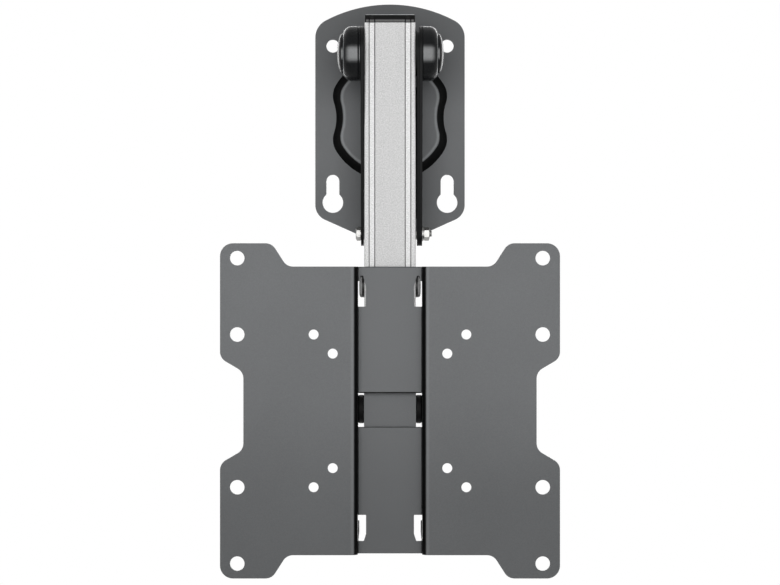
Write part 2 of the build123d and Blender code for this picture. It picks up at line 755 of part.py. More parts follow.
# Screen plate: the bent section runs along Y, and the outline then trims it
screen_start_y = tilt_y - screen_h / 2
with BuildPart() as screen_plate:
    with BuildSketch(Plane(origin=(0, screen_start_y, 0), x_dir=(1, 0, 0), z_dir=(0, -1, 0))) as fold:
        with Locations((0, web_back_z - screen_plate_t / 2)):
            Rectangle(2 * wall_out, screen_plate_t)
        wing_w = screen_w / 2 - channel_side
        wing_x = channel_side + wing_w / 2
        wall_h = web_back_z - wing_front_z
        with Locations((0, web_back_z - wall_h / 2)):
            with GridLocations(channel_w + screen_plate_t, 0, 2, 1):
                Rectangle(screen_plate_t, wall_h)
        with Locations((0, wing_front_z + screen_plate_t / 2)):
            with GridLocations(2 * wing_x, 0, 2, 1):
                Rectangle(wing_w, screen_plate_t)
        for bend_x, bend_z, bend_r in (
            (wall_out, web_back_z, web_bend_r + screen_plate_t),
            (channel_side, web_front_z, web_bend_r),
            (wall_out, wing_front_z + screen_plate_t, wing_bend_r),
            (channel_side, wing_front_z, wing_bend_r + screen_plate_t),
        ):
            in_bend = lambda v: abs(abs(v.X) - bend_x) < near and abs(v.Y - bend_z) < near
            fillet(fold.vertices().filter_by(in_bend), bend_r)
    extrude(amount=-screen_h)

    with BuildSketch(Plane.XY.offset(wing_front_z)) as outline:
        with BuildLine(mode=Mode.PRIVATE) as quarter:
            Polyline(
                (0, screen_mid_h / 2),
                (top_notch_w / 2, screen_mid_h / 2),
                (top_notch_w / 2 + top_notch_run, screen_h / 2),
                (screen_w / 2, screen_h / 2),
                (screen_w / 2, side_ear_start + side_ear_run),
                (screen_waist_w / 2, side_ear_start),
                (screen_waist_w / 2, 0),
                (0, 0),
                close=True,
            )
        with Locations((0, tilt_y)):
            add(make_face(quarter.line, mode=Mode.PRIVATE))
        mirror(about=Plane.YZ)
        mirror(about=Plane.XZ.offset(-tilt_y))
        in_corner = lambda v: abs(v.X) > screen_w / 2 - near and abs(v.Y - tilt_y) > screen_h / 2 - near
        on_seam = lambda v: abs(v.X) < near or abs(v.Y - tilt_y) < near
        notches = outline.vertices().filter_by(lambda v: not in_corner(v) and not on_seam(v))
        fillet(notches, notch_r)
        fillet(outline.vertices().filter_by(in_corner), screen_corner_r)
    extrude(amount=web_back_z - wing_front_z, mode=Mode.INTERSECT)

    with BuildSketch(Plane.XY.offset(web_back_z)):
        with Locations((0, tilt_y)):
            Rectangle(2 * wall_out, window_h)
    extrude(amount=-(screen_plate_t + web_bend_r), mode=Mode.SUBTRACT)
    for tab_x in (-wall_out, channel_side):
        with BuildSketch(Plane.YZ.offset(tab_x)) as tab:
            tab_low_z = web_front_z - web_bend_r
            tab_length = pivot_z + tab_tip - tab_low_z
            with Locations((tilt_y, tab_low_z + tab_length / 2)):
                Rectangle(window_h - 2 * tab_kerf, tab_length)
            fillet(tab.vertices().group_by(Axis.Y)[-1], tab_corner_r)
            with Locations((tilt_y, pivot_z)):
                Circle(tilt_bolt_d / 2 + bolt_gap, mode=Mode.SUBTRACT)
        extrude(amount=screen_plate_t)

    with BuildSketch(Plane.XY.offset(wing_front_z)):
        with Locations((0, tilt_y)):
            with GridLocations(grid_large, grid_large, 2, 2):
                Circle(large_hole_d / 2)
            with GridLocations(grid_large, grid_middle, 2, 2):
                Circle(large_hole_d / 2)
            with GridLocations(grid_middle, grid_middle, 2, 2):
                Circle(small_hole_d / 2)
            with GridLocations(grid_small, grid_small, 2, 2):
                Circle(small_hole_d / 2)
    extrude(amount=screen_plate_t, mode=Mode.SUBTRACT)

    hook_outer_x = channel_side + hook_bend_reach
    upper_hook = (
        (hook_outer_x, 0),
        (hook_inner_x, 0),
        (hook_inner_x, upper_hook_length - upper_hook_slant),
        (hook_inner_x + upper_hook_slant_run, upper_hook_length),
        (channel_side - upper_hook_neck_inset, upper_hook_length),
        (channel_side - upper_hook_neck_inset, upper_hook_length - upper_hook_neck),
        (hook_outer_x, upper_hook_length - upper_hook_neck),
    )
    lower_hook = (
        (hook_outer_x, 0),
        (hook_inner_x, 0),
        (hook_inner_x, lower_hook_length - lower_hook_slant),
        (hook_inner_x + lower_hook_slant_run, lower_hook_length),
        (channel_side - lower_hook_foot_lip, lower_hook_length),
        (channel_side - lower_hook_lip, lower_hook_length - lower_hook_foot),
        (channel_side - lower_hook_lip, lower_hook_mouth),
        (hook_outer_x, lower_hook_mouth),
    )
    for hook, start, along in ((upper_hook, upper_hook_start, -1), (lower_hook, lower_hook_start, 1)):
        for side in (-1, 1):
            corners = [(side * x, tilt_y + along * (start + y)) for x, y in hook]
            with BuildSketch(Plane.XY.offset(web_back_z)):
                with BuildLine():
                    FilletPolyline(*corners, radius=hook_corner_r, close=True)
                make_face()
            extrude(amount=-(screen_plate_t + web_bend_r), mode=Mode.SUBTRACT)
screen_plate.part.label = "screen_plate"
export_step(screen_plate.part, "parts/screen_plate.step")

# Tilt bolt through the two tabs and the fitting, with thick washers in the side gaps
tilt_clear_d = tilt_bolt_d + 2 * running_gap
tilt_gap = channel_side - fitting_w / 2
tilt_head_seat = -(wall_out + tilt_flat_washer_t)
tilt_nut_seat = wall_out + tilt_flat_washer_t
tilt_bolt_length = tilt_nut_seat + tilt_nut_h + tilt_thread_end - tilt_head_seat
tilt_bolt = hex_bolt(
    facing(tilt_axis, tilt_head_seat, 1), tilt_bolt_d, tilt_bolt_length, tilt_head_af, tilt_head_h
)
tilt_bolt.part.label = "tilt_bolt"
export_step(tilt_bolt.part, "parts/tilt_bolt.step")

tilt_nut = hex_nut(tilt_axis.offset(tilt_nut_seat), tilt_clear_d, tilt_head_af, tilt_nut_h)
tilt_nut.part.label = "tilt_nut"
export_step(tilt_nut.part, "parts/tilt_nut.step")

for side_name, thick_x, flat_x in (
    ("left", -channel_side, tilt_head_seat),
    ("right", fitting_w / 2, wall_out),
):
    spacer = ring(tilt_axis.offset(thick_x), tilt_washer_d, tilt_clear_d, tilt_gap, edge_round)
    spacer.part.label = f"{side_name}_tilt_washer"
    export_step(spacer.part, f"parts/{side_name}_tilt_washer.step")
    flat = ring(tilt_axis.offset(flat_x), tilt_flat_washer_d, tilt_clear_d, tilt_flat_washer_t)
    flat.part.label = f"{side_name}_flat_washer"
    export_step(flat.part, f"parts/{side_name}_flat_washer.step")
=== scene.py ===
"""Stage and looks of the folding ceiling mount, with three hexagon bolts that show their threads.

All lengths are in metres, in the part's own frame: Z is the swivel axis and points up to the
ceiling, and the folded arm runs along +Y, which is down in the photograph.
"""
import json
import math

import bpy
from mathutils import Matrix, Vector


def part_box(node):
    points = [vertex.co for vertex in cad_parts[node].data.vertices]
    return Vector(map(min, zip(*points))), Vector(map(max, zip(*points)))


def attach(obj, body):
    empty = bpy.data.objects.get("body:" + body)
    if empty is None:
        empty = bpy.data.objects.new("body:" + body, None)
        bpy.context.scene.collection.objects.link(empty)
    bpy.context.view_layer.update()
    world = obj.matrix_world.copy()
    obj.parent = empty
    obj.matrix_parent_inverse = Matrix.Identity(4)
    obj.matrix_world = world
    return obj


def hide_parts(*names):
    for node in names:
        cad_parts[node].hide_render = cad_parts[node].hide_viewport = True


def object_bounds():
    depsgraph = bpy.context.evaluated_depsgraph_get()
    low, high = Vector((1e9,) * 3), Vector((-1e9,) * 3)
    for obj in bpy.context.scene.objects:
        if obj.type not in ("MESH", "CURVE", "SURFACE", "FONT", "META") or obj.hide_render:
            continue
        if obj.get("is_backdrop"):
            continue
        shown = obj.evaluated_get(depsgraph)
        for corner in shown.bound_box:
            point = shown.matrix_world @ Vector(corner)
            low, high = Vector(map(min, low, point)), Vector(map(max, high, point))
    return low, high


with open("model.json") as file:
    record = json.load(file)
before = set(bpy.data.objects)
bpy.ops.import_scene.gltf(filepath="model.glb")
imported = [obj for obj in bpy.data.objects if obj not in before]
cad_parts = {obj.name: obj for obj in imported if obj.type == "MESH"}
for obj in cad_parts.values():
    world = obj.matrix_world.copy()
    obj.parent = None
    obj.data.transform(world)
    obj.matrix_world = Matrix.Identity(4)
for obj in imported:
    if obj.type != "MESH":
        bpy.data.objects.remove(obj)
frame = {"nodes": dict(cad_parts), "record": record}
cad_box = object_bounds()
nodes = frame["nodes"]
scene = bpy.context.scene
scene.view_settings.view_transform = "Standard"

# The photograph is taken from below: the camera looks straight up at the folded mount.
IMAGE_W = 780
CAMERA_AT = (0.0, 0.1193, -1.5674)
FOCAL_PX = 2291.25
SENSOR_MM = 36.0

# Studio: an even fill, a soft key under the mount, one lamp above it and four low ones around it
WORLD_FILL = 0.16
MIDDLE = (0.0, 0.10, 0.0)
KEY_AT, KEY_TARGET = (-0.02, -0.10, -0.98), (-0.02, -0.10, 0.0)
KEY_SIZE, KEY_WATTS = 0.80, 6.3
TOP_AT = (0.0, 0.10, 1.80)
TOP_SIZE, TOP_WATTS = 2.2, 60.0
AROUND_REACH, AROUND_Z = 2.0, 0.25
AROUND_SIZE, AROUND_WATTS = 1.0, 16.0

# Floor, which goes over to white between two distances from its middle
FLOOR_HALF = 40.0
FLOOR_Z = -2.4
FLOOR_LIFT = 0.62
FLOOR_FADE = (3.5, 14.0)


# ---------------------------------------------------------------- stage
def make_camera():
    """The photograph's camera, below the mount and looking straight up."""
    data = bpy.data.cameras.new("camera")
    data.sensor_width = SENSOR_MM
    data.lens = FOCAL_PX * SENSOR_MM / IMAGE_W
    data.clip_start = 0.01
    data.clip_end = 100.0
    obj = bpy.data.objects.new("camera", data)
    scene.collection.objects.link(obj)
    obj.location = CAMERA_AT
    obj.rotation_euler = (math.pi, 0.0, 0.0)
    scene.camera = obj


def area_light(name, location, target, size, power):
    """A square soft box of the given side in metres, facing the target."""
    data = bpy.data.lights.new(name, "AREA")
    data.shape = "SQUARE"
    data.size = size
    data.energy = power
    obj = bpy.data.objects.new(name, data)
    scene.collection.objects.link(obj)
    obj.location = location
    toward = Vector(target) - Vector(location)
    obj.rotation_euler = toward.to_track_quat("-Z", "Y").to_euler()
    obj.visible_camera = False
    return obj


def seen_rays(tree):
    """1 for what is seen directly, in a reflection or through glass, and 0 for what only lights."""
    path = tree.nodes.new("ShaderNodeLightPath")
    seen = path.outputs["Is Camera Ray"]
    for ray in ("Is Glossy Ray", "Is Transmission Ray"):
        either = tree.nodes.new("ShaderNodeMath")
        either.operation = "MAXIMUM"
        tree.links.new(seen, either.inputs[0])
        tree.links.new(path.outputs[ray], either.inputs[1])
        seen = either.outputs[0]
    return seen


def make_world():
    """A dim even studio that shows as white to the camera, in reflections and through glass."""
    world = bpy.data.worlds.new("studio")
    scene.world = world
    world.use_nodes = True
    tree = world.node_tree
    tree.nodes.clear()
    out = tree.nodes.new("ShaderNodeOutputWorld")
    mix = tree.nodes.new("ShaderNodeMixShader")
    tree.links.new(seen_rays(tree), mix.inputs["Fac"])
    for index, strength in ((1, WORLD_FILL), (2, 1.0)):
        light = tree.nodes.new("ShaderNodeBackground")
        light.inputs["Color"].default_value = (1, 1, 1, 1)
        light.inputs["Strength"].default_value = strength
        tree.links.new(light.outputs[0], mix.inputs[index])
    tree.links.new(mix.outputs[0], out.inputs["Surface"])


def make_floor():
    """A pale floor that takes the object's shadow and goes over to the white studio far away."""
    half, z = FLOOR_HALF, FLOOR_Z
    corners = [(-half, -half, z), (half, -half, z), (half, half, z), (-half, half, z)]
    mesh = bpy.data.meshes.new("floor")
    mesh.from_pydata(corners, [], [(0, 1, 2, 3)])
    obj = bpy.data.objects.new("floor", mesh)
    scene.collection.objects.link(obj)

    shade = Shade("floor_paint")
    grain = shade.noise(scale=6.0, detail=2.0)
    shade.colour(shade.grade(grain, 0.76, 0.80))
    shade.value("Roughness", 0.8)
    lift = shade.node("ShaderNodeEmission")
    lift.inputs["Strength"].default_value = FLOOR_LIFT
    pale = shade.node("ShaderNodeAddShader")
    shade.link(shade.shader.outputs[0], pale.inputs[0])
    shade.link(lift.outputs[0], pale.inputs[1])
    white = shade.node("ShaderNodeEmission")
    distance = shade.node("ShaderNodeVectorMath", operation="LENGTH")
    shade.link(shade.coords.outputs["Object"], distance.inputs[0])
    far = shade.rise(distance.outputs["Value"], *FLOOR_FADE)
    shown = shade.mix_shader(far, pale.outputs[0], white.outputs[0])
    lit_or_shown = shade.mix_shader(seen_rays(shade.tree), shade.shader.outputs[0], shown)
    shade.link(lit_or_shown, shade.surface)
    obj.data.materials.append(shade.material)
    obj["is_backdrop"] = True


# ---------------------------------------------------------------- materials
# Most of a noise lies between these two values
NOISE_LOW, NOISE_HIGH = 0.3, 0.7

# Radius of the rounding that the bevel nodes give to sharp edges, and how fast edge wear and the
# painted highlight set in there
EDGE_R, SMALL_EDGE_R = 0.0003, 0.0002
BEVEL_SAMPLES = 6
WEAR_AND_HIGHLIGHT_GAIN = 6.0


class Shade:
    """One procedural material, built around a Principled shader in object coordinates."""

    def __init__(self, name):
        self.material = bpy.data.materials.new(name)
        self.material.use_nodes = True
        self.tree = self.material.node_tree
        self.shader = self.tree.nodes["Principled BSDF"]
        self.coords = self.tree.nodes.new("ShaderNodeTexCoord")
        self.surface = self.tree.nodes["Material Output"].inputs["Surface"]

    def node(self, kind, **settings):
        """A new node with the given settings."""
        made = self.tree.nodes.new(kind)
        for key, value in settings.items():
            setattr(made, key, value)
        return made

    def link(self, a, b):
        """Joins the output a to the input b."""
        self.tree.links.new(a, b)

    def value(self, socket, number):
        """Sets one of the shader's own numbers."""
        self.shader.inputs[socket].default_value = number

    def colour(self, socket):
        """Takes the shader's colour from a socket."""
        self.link(socket, self.shader.inputs["Base Color"])

    def noise(self, scale, detail=3.0, rough=0.5, stretch=(1, 1, 1)):
        """Soft noise, which a small value of stretch draws out along that axis."""
        mapping = self.node("ShaderNodeMapping")
        mapping.inputs["Scale"].default_value = stretch
        self.link(self.coords.outputs["Object"], mapping.inputs["Vector"])
        made = self.node("ShaderNodeTexNoise")
        made.inputs["Scale"].default_value = scale
        made.inputs["Detail"].default_value = detail
        made.inputs["Roughness"].default_value = rough
        self.link(mapping.outputs["Vector"], made.inputs["Vector"])
        return made.outputs["Fac"]

    def cells(self, scale):
        """The distance to the nearest middle of many small cells."""
        made = self.node("ShaderNodeTexVoronoi")
        made.inputs["Scale"].default_value = scale
        self.link(self.coords.outputs["Object"], made.inputs["Vector"])
        return made.outputs["Distance"]

    def math(self, operation, a, b=0.0):
        """A Math node on sockets or numbers."""
        made = self.node("ShaderNodeMath", operation=operation)
        for socket, value in zip(made.inputs, (a, b)):
            if isinstance(value, (int, float)):
                socket.default_value = value
            else:
                self.link(value, socket)
        return made.outputs[0]

    def times(self, a, b):
        """The product of two sockets or numbers."""
        return self.math("MULTIPLY", a, b)

    def span(self, socket, low, high, to_low, to_high, smooth=True):
        """Maps low..high to to_low..to_high and stays level beyond, with soft ends if smooth."""
        made = self.node("ShaderNodeMapRange")
        made.interpolation_type = "SMOOTHSTEP" if smooth else "LINEAR"
        self.link(socket, made.inputs["Value"])
        made.inputs["From Min"].default_value = low
        made.inputs["From Max"].default_value = high
        made.inputs["To Min"].default_value = to_low
        made.inputs["To Max"].default_value = to_high
        return made.outputs["Result"]

    def rise(self, socket, low, high):
        """0 below low and 1 above high."""
        return self.span(socket, low, high, 0.0, 1.0)

    def drop(self, socket, low, high):
        """1 below low and 0 above high."""
        return self.span(socket, low, high, 1.0, 0.0)

    def ramp(self, socket, stops, tint=(1.0, 1.0, 1.0)):
        """A tinted level that follows the socket through the stops (place, level)."""
        made = self.node("ShaderNodeValToRGB")
        ramp = made.color_ramp
        while len(ramp.elements) < len(stops):
            ramp.elements.new(0.5)
        for element, (at, level) in zip(ramp.elements, stops):
            element.position = at
            element.color = (level * tint[0], level * tint[1], level * tint[2], 1.0)
        self.link(socket, made.inputs["Fac"])
        return made.outputs["Color"]

    def mottle(self, noise, low, high, tint=(1.0, 1.0, 1.0)):
        """A tinted level that follows a noise between two values."""
        return self.ramp(noise, [(NOISE_LOW, low), (NOISE_HIGH, high)], tint)

    def grade(self, socket, at_zero, at_one):
        """A level that goes from at_zero to at_one as the socket goes from 0 to 1."""
        return self.ramp(socket, [(0.0, at_zero), (1.0, at_one)])

    def mix(self, factor, a, b, blend="MIX"):
        """Blends b over a by the factor; each is a socket, or else a number or a colour."""
        made = self.node("ShaderNodeMix", data_type="RGBA", blend_type=blend)
        for index, value in ((0, factor), (6, a), (7, b)):
            if isinstance(value, (int, float)):
                made.inputs[index].default_value = value
            elif isinstance(value, tuple):
                made.inputs[index].default_value = (*value, 1.0)
            else:
                self.link(value, made.inputs[index])
        return made.outputs[2]

    def toned(self, colour, level, factor=1.0):
        """The colour times a level, which counts by the factor."""
        return self.mix(factor, colour, level, "MULTIPLY")

    def mix_shader(self, factor, a, b):
        """Goes over from shader a to shader b as the factor goes from 0 to 1."""
        made = self.node("ShaderNodeMixShader")
        self.link(factor, made.inputs["Fac"])
        self.link(a, made.inputs[1])
        self.link(b, made.inputs[2])
        return made.outputs[0]

    def component(self, source, axis):
        """One axis of the object's own Normal or Object coordinates."""
        split = self.node("ShaderNodeSeparateXYZ")
        self.link(self.coords.outputs[source], split.inputs[0])
        return split.outputs[axis]

    def facing(self, axis):
        """How square the surface is to the object's own axis, from 0 to 1."""
        return self.math("ABSOLUTE", self.component("Normal", axis))

    def along(self, axis):
        """The place along the object's own axis."""
        return self.component("Object", axis)

    def from_middle(self, axis):
        """The distance from the object's own middle plane."""
        return self.math("ABSOLUTE", self.along(axis))

    def wear_and_highlight(self, radius, amount):
        """The amount along the sharp edges of the solid, within about the radius, else 0."""
        bevel = self.node("ShaderNodeBevel", samples=BEVEL_SAMPLES)
        bevel.inputs["Radius"].default_value = radius
        geometry = self.node("ShaderNodeNewGeometry")
        dot = self.node("ShaderNodeVectorMath", operation="DOT_PRODUCT")
        self.link(bevel.outputs[0], dot.inputs[0])
        self.link(geometry.outputs["Normal"], dot.inputs[1])
        turned = self.math("SUBTRACT", 1.0, dot.outputs["Value"])
        edge = self.span(turned, 0.0, 1.0 / WEAR_AND_HIGHLIGHT_GAIN, 0.0, 1.0, smooth=False)
        return self.times(edge, amount)

    def roughness(self, noise, middle, swing):
        """Lets the shader's roughness follow a noise, up to the swing from its middle value."""
        spread = self.span(noise, NOISE_LOW, NOISE_HIGH, middle - swing, middle + swing)
        self.link(spread, self.shader.inputs["Roughness"])

    def relief(self, noise, strength, height, radius):
        """Bumps that follow a noise, on a surface whose sharp edges are rounded by the radius."""
        bump = self.node("ShaderNodeBump")
        bump.inputs["Strength"].default_value = strength
        bump.inputs["Distance"].default_value = height
        self.link(noise, bump.inputs["Height"])
        bevel = self.node("ShaderNodeBevel", samples=BEVEL_SAMPLES)
        bevel.inputs["Radius"].default_value = radius
        self.link(bevel.outputs[0], bump.inputs["Normal"])
        self.link(bump.outputs["Normal"], self.shader.inputs["Normal"])


# The stops of a coat give its level by its slope, from 0, upright, to 1, flat: painted shade where
# the pressed sheet turns away, and a painted highlight line where the bend begins.
SCREEN_SLOPE_SHADE_AND_HIGHLIGHT = [
    (0.0, 0.015),
    (0.835, 0.015),
    (0.87, 0.45),
    (0.91, 1.05),
    (0.96, 1.28),
    (0.985, 1.22),
    (0.9975, 1.06),
    (1.0, 1.0),
]
CEILING_SLOPE_SHADE_AND_HIGHLIGHT = [
    (0.0, 0.5),
    (0.30, 0.5),
    (0.42, 0.015),
    (0.835, 0.015),
    (0.87, 0.45),
    (0.91, 1.15),
    (0.96, 1.60),
    (0.985, 1.48),
    (0.9975, 1.12),
    (1.0, 1.0),
]
BRACKET_SLOPE_SHADE = [(0.0, 0.5), (0.9, 0.6), (1.0, 1.0)]
FITTING_SLOPE_SHADE = [(0.0, 0.7), (0.9, 0.85), (1.0, 1.0)]
PLAIN_SLOPE_SHADE = [(0.0, 0.6), (1.0, 1.0)]

# The painted falloff of light and shade on a coat gives its level along Y, counted from its start
# below
LIGHT_FALLOFF_START = -0.1
SCREEN_LIGHT_FALLOFF = [
    (0.211, 1.04),
    (0.254, 1.01),
    (0.290, 0.98),
    (0.316, 0.90),
    (0.343, 0.82),
    (0.359, 0.79),
    (0.386, 0.78),
]
CEILING_LIGHT_FALLOFF = [
    (0.040, 0.85),
    (0.060, 0.87),
    (0.081, 0.98),
    (0.095, 1.08),
    (0.125, 1.08),
    (0.160, 0.96),
]

# From here on, a pair of numbers is where a tone begins to change and where it has changed.
# The painted shade of a coat is lifted on what faces up, and on walls that face away from X = 0
# and lie this far out.
COAT_TINT = (0.970, 1.0, 1.025)
UPPER_TURN = (0.3, 0.6)
UPPER_LEVEL = 0.75
WALL_REACH = (0.010, 0.016)

# The web of the screen plate: painted shadow lines along its window and its upper end
WINDOW_Y = 0.1968
WINDOW_EDGE = (0.01145, 0.01155)
WINDOW_SIDE = (0.0202, 0.0206)
UPPER_EDGE_SHIFT = 0.00045
SHIFT_RUN = 0.001
WEB_FRONT_Z = (-0.0574, -0.0572)
WEB_END_Y = (0.1027, 0.1028)
WEB_SHADOW_LEVEL, WEB_END_SHADOW_LEVEL = 0.02, 0.25


def painted_web_shadow(shade):
    """A painted shadow line along the window and the upper end of the web, and 1 elsewhere."""
    from_window = shade.math("ABSOLUTE", shade.math("SUBTRACT", shade.along("Y"), WINDOW_Y))
    shift = shade.span(
        shade.along("Y"), WINDOW_Y - SHIFT_RUN, WINDOW_Y + SHIFT_RUN, UPPER_EDGE_SHIFT, 0.0
    )
    # Painted shadow along the window's edges, and below along the web's upper end
    window_shadow = shade.span(shade.math("SUBTRACT", from_window, shift), *WINDOW_EDGE, WEB_SHADOW_LEVEL, 1.0)
    end = shade.span(shade.along("Y"), *WEB_END_Y, WEB_END_SHADOW_LEVEL, 1.0)
    inside = shade.drop(shade.from_middle("X"), *WINDOW_SIDE)
    deep = shade.rise(shade.along("Z"), *WEB_FRONT_Z)
    elsewhere = shade.math("SUBTRACT", 1.0, shade.times(inside, deep))
    dark = shade.math("MINIMUM", window_shadow, end)
    return shade.grade(shade.math("MAXIMUM", dark, elsewhere), 0.0, 1.0)


def coated_steel(name, level, rough, specular, stops, light_falloff=None, web_shadow=False, outward=0.0):
    """Powder coat with an orange peel, with painted shade and highlight by the slope of the sheet
    and a painted falloff of light along Y.

    The web shadow flag paints shadow lines along the edges of the screen plate's web, and outward
    is the least level of the painted shade on the walls that face away from X = 0.
    """
    shade = Shade(name)
    cloud = shade.noise(scale=14.0, detail=2.0)
    speck = shade.noise(scale=1700.0, detail=2.0, rough=0.6)
    body = shade.mottle(cloud, level * 0.97, level * 1.03, COAT_TINT)
    body = shade.toned(body, shade.mottle(speck, 0.93, 1.07))
    # Painted shade and highlight by the slope of the sheet, lifted where it faces up and on outer
    # walls
    turn = shade.ramp(shade.facing("Z"), stops)
    upper = shade.grade(shade.rise(shade.component("Normal", "Z"), *UPPER_TURN), 0.0, UPPER_LEVEL)
    turn = shade.mix(1.0, turn, upper, "LIGHTEN")
    if outward:
        away = shade.times(shade.component("Normal", "X"), shade.along("X"))
        wall = shade.grade(shade.rise(away, *WALL_REACH), 0.0, outward)
        turn = shade.mix(1.0, turn, wall, "LIGHTEN")
    body = shade.toned(body, turn)
    # A painted falloff of light and shade along Y
    if light_falloff:
        way = shade.math("ADD", shade.along("Y"), -LIGHT_FALLOFF_START)
        body = shade.toned(body, shade.ramp(way, light_falloff))
    # Painted shadow lines along the window and the upper end of the web
    if web_shadow:
        body = shade.toned(body, painted_web_shadow(shade))
    # Edges paler from wear and a painted highlight
    shade.colour(shade.mix(shade.wear_and_highlight(EDGE_R, amount=0.30), body, (level * 1.3,) * 3))
    peel = shade.noise(scale=900.0, detail=2.0)
    shade.roughness(peel, rough, swing=0.04)
    shade.value("Specular IOR Level", specular)
    shade.relief(peel, strength=0.2, height=0.00004, radius=EDGE_R)
    return shade.material


def moulded_plastic(name, level, rough, specular):
    """Matt black moulding with edges paler from wear and a painted highlight."""
    shade = Shade(name)
    cloud = shade.noise(scale=40.0, detail=2.0)
    fine = shade.noise(scale=900.0, detail=3.0, rough=0.6)
    body = shade.mottle(cloud, level * 0.85, level * 1.15, (0.98, 1.0, 1.02))
    # Edges paler from wear and a painted highlight
    shade.colour(shade.mix(shade.wear_and_highlight(EDGE_R, amount=0.5), body, (level * 4.0,) * 3))
    shade.roughness(fine, rough, swing=0.04)
    shade.value("Specular IOR Level", specular)
    shade.relief(fine, strength=0.10, height=0.00003, radius=EDGE_R)
    return shade.material


# The covers have a painted highlight band where they face this way round the X axis, and not where
# they turn to X. The painted highlight line on their shoulder lies at a turn of its own.
HIGHLIGHT_TOWARD = (0.0, 0.10, -0.995)
HIGHLIGHT_STOPS = [(0.935, 0.0), (0.960, 0.18), (0.975, 0.65), (0.990, 1.0), (1.0, 1.0)]
HIGHLIGHT_SIDE = (0.20, 0.78)
SHOULDER_HIGHLIGHT_STOPS = [(0.86, 0.0), (0.90, 0.75), (0.955, 0.75), (0.98, 0.0)]
SHOULDER_HIGHLIGHT_COLOUR = (0.19, 0.20, 0.205)


def cover_plastic(name, rounded):
    """Gloss black moulding with a soft painted highlight band below.

    rounded adds a painted highlight line on its shoulder.
    """
    shade = Shade(name)
    cloud = shade.noise(scale=60.0, detail=2.0)
    fine = shade.noise(scale=1200.0, detail=3.0, rough=0.6)
    body = shade.mottle(cloud, 0.006, 0.009, (0.94, 1.0, 1.07))
    band = shade.mottle(fine, 0.21, 0.24, (0.98, 1.0, 1.01))
    # A painted highlight band where the cover faces down and a little along Y, round the X axis
    around = shade.node("ShaderNodeVectorMath", operation="MULTIPLY")
    around.inputs[1].default_value = (0.0, 1.0, 1.0)
    shade.link(shade.coords.outputs["Normal"], around.inputs[0])
    unit = shade.node("ShaderNodeVectorMath", operation="NORMALIZE")
    shade.link(around.outputs["Vector"], unit.inputs[0])
    toward = shade.node("ShaderNodeVectorMath", operation="DOT_PRODUCT")
    toward.inputs[1].default_value = HIGHLIGHT_TOWARD
    shade.link(unit.outputs["Vector"], toward.inputs[0])
    pale = shade.ramp(toward.outputs["Value"], HIGHLIGHT_STOPS)
    pale = shade.times(pale, shade.drop(shade.facing("X"), *HIGHLIGHT_SIDE))
    body = shade.mix(pale, body, band)
    # A painted highlight line on the shoulder
    if rounded:
        body = shade.mix(shade.ramp(shade.facing("X"), SHOULDER_HIGHLIGHT_STOPS), body, SHOULDER_HIGHLIGHT_COLOUR)
    shade.colour(body)
    shade.roughness(fine, 0.27, swing=0.03)
    shade.value("Specular IOR Level", 0.08)
    shade.relief(fine, strength=0.08, height=0.00003, radius=EDGE_R)
    return shade.material


# The end cap along Y: its rounded end, with a painted highlight, lies before the first pair, its
# grey flat between the others
CAP_HIGHLIGHT_Y = (-0.0647, -0.0643)
CAP_FLAT_START_Y = (-0.0614, -0.0610)
CAP_FLAT_END_Y = (-0.0599, -0.0596)
CAP_HIGHLIGHT_TURN = (0.02, 0.10)
CAP_FLAT_TURN = (0.90, 0.99)


def cap_plastic(name):
    """Black plastic with a painted highlight on its rounded end and a matt grey flat next to the
    arm.
    """
    shade = Shade(name)
    fine = shade.noise(scale=1100.0, detail=3.0, rough=0.6)
    turn = shade.facing("Z")
    way = shade.along("Y")
    # A painted highlight on the rounded end
    end = shade.times(shade.drop(way, *CAP_HIGHLIGHT_Y), shade.rise(turn, *CAP_HIGHLIGHT_TURN))
    body = shade.mix(end, (0.006, 0.006, 0.006), (0.40, 0.41, 0.42))
    flat = shade.times(shade.rise(way, *CAP_FLAT_START_Y), shade.drop(way, *CAP_FLAT_END_Y))
    flat = shade.times(flat, shade.rise(turn, *CAP_FLAT_TURN))
    shade.colour(shade.mix(flat, body, shade.mottle(fine, 0.10, 0.13)))
    shade.roughness(fine, 0.44, swing=0.04)
    shade.value("Specular IOR Level", 0.06)
    shade.relief(fine, strength=0.10, height=0.00003, radius=EDGE_R)
    return shade.material


# The painted highlight ring of the clamp heads: stops by the distance from X = 0, in tenths of a
# metre
HIGHLIGHT_RING_SCALE = 10.0
HIGHLIGHT_RING_STOPS = [(0.184, 0.0), (0.188, 1.0), (0.196, 1.0), (0.199, 0.0)]
HIGHLIGHT_RING_TURN = (0.50, 0.75)


def black_oxide(name):
    """Blackened steel, with a painted highlight where the round head faces down into the slot."""
    shade = Shade(name)
    fine = shade.noise(scale=900.0, detail=3.0, rough=0.6)
    # A painted highlight ring where the head faces down
    ring = shade.ramp(shade.times(shade.from_middle("X"), HIGHLIGHT_RING_SCALE), HIGHLIGHT_RING_STOPS)
    head_highlight = shade.times(ring, shade.rise(shade.facing("Z"), *HIGHLIGHT_RING_TURN))
    body = shade.mottle(fine, 0.006, 0.010)
    shade.colour(shade.mix(head_highlight, body, shade.mottle(fine, 0.26, 0.38)))
    shade.roughness(fine, 0.35, swing=0.05)
    shade.value("Specular IOR Level", 0.3)
    shade.relief(fine, strength=0.10, height=0.00003, radius=SMALL_EDGE_R)
    return shade.material


